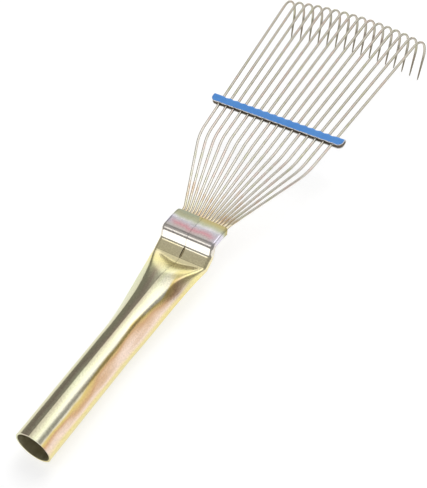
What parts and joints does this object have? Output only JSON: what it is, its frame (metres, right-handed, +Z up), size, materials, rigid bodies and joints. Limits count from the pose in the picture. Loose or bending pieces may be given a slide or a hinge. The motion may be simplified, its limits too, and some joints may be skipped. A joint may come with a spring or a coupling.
{
  "type": "wire hand rake",
  "caption": "Hand rake: a rolled sheet-steel socket handle crimped over a row of sprung wire tines that fan out, pass through a blue folded spreader bar and hook down at their tips.",
  "frame": {"origin": "middle of the rake's footprint on the table, at the height of the table", "axes": "+Y from the handle to the hooks, along the rake; +X across the row of tines; +Z up, with the hooks pointing down"},
  "size_m": [0.086, 0.316, 0.0291],
  "materials": {
    "yellow_zinc_sheet": "glossy yellow-chromate zinc plating with faint green and pink tints",
    "yellow_zinc_wire": "pale yellow-zinc plated spring wire",
    "blue_paint": "satin blue paint on sheet steel, bare at the cut edges"
  },
  "bodies": {
    "root": {"handle_socket": "yellow_zinc_sheet", "spreader_bar": "blue_paint", "tine_01": "yellow_zinc_wire", "tine_02": "yellow_zinc_wire", "tine_03": "yellow_zinc_wire", "tine_04": "yellow_zinc_wire", "tine_05": "yellow_zinc_wire", "tine_06": "yellow_zinc_wire", "tine_07": "yellow_zinc_wire", "tine_08": "yellow_zinc_wire", "tine_09": "yellow_zinc_wire", "tine_10": "yellow_zinc_wire", "tine_11": "yellow_zinc_wire", "tine_12": "yellow_zinc_wire", "tine_13": "yellow_zinc_wire", "tine_14": "yellow_zinc_wire", "tine_15": "yellow_zinc_wire", "tine_16": "yellow_zinc_wire"}
  },
  "joints": []
}
